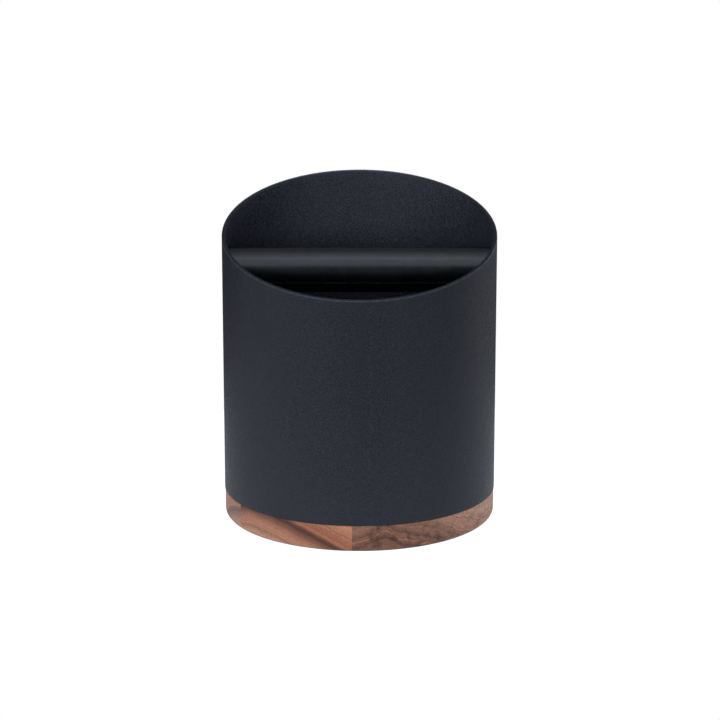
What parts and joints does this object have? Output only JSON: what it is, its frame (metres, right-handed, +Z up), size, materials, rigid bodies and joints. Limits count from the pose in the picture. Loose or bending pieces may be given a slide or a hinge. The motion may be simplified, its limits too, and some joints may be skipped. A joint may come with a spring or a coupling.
{
  "type": "coffee knock box",
  "caption": "Round coffee knock box: powder-coated bin with a slanted rim, a lift-out rubber knock bar held in saddles across its mouth, and a walnut base.",
  "frame": {"origin": "centre of the box's footprint, on the surface the foot ring stands on", "axes": "+Z up, -Y towards the low front of the rim, X along the knock bar"},
  "size_m": [0.14, 0.14, 0.1682],
  "materials": {
    "powder_coat": "matte",
    "saddle_metal": "matte",
    "walnut": "satin",
    "bar_rubber": "satin",
    "silicone": "matte",
    "cap_plastic": "satin",
    "bar_steel": "satin",
    "zinc_steel": "satin",
    "black_steel": "satin"
  },
  "bodies": {
    "bin": {"shell": "powder_coat", "floor_plate": "powder_coat", "weld_nuts": "zinc_steel", "wood_base": "walnut", "base_screws": "zinc_steel", "base_washers": "zinc_steel", "foot_ring": "silicone", "left_bracket": "saddle_metal", "right_bracket": "saddle_metal", "left_liner": "silicone", "right_liner": "silicone", "bracket_screws": "black_steel"},
    "bar": {"bar_core": "bar_steel", "left_end_cap": "cap_plastic", "right_end_cap": "cap_plastic", "end_cap_screws": "zinc_steel"},
    "sleeve": {"bar_sleeve": "bar_rubber"}
  },
  "joints": [
    {"name": "bar_lift", "type": "slide", "parent": "bin", "child": "bar", "axis": [0, 0, 1], "range_m": [0, 0.06]},
    {"name": "sleeve_roll", "type": "hinge", "parent": "bar", "child": "sleeve", "pos_m": [0, 0, 0.1293], "axis": [1, 0, 0], "continuous": true}
  ]
}
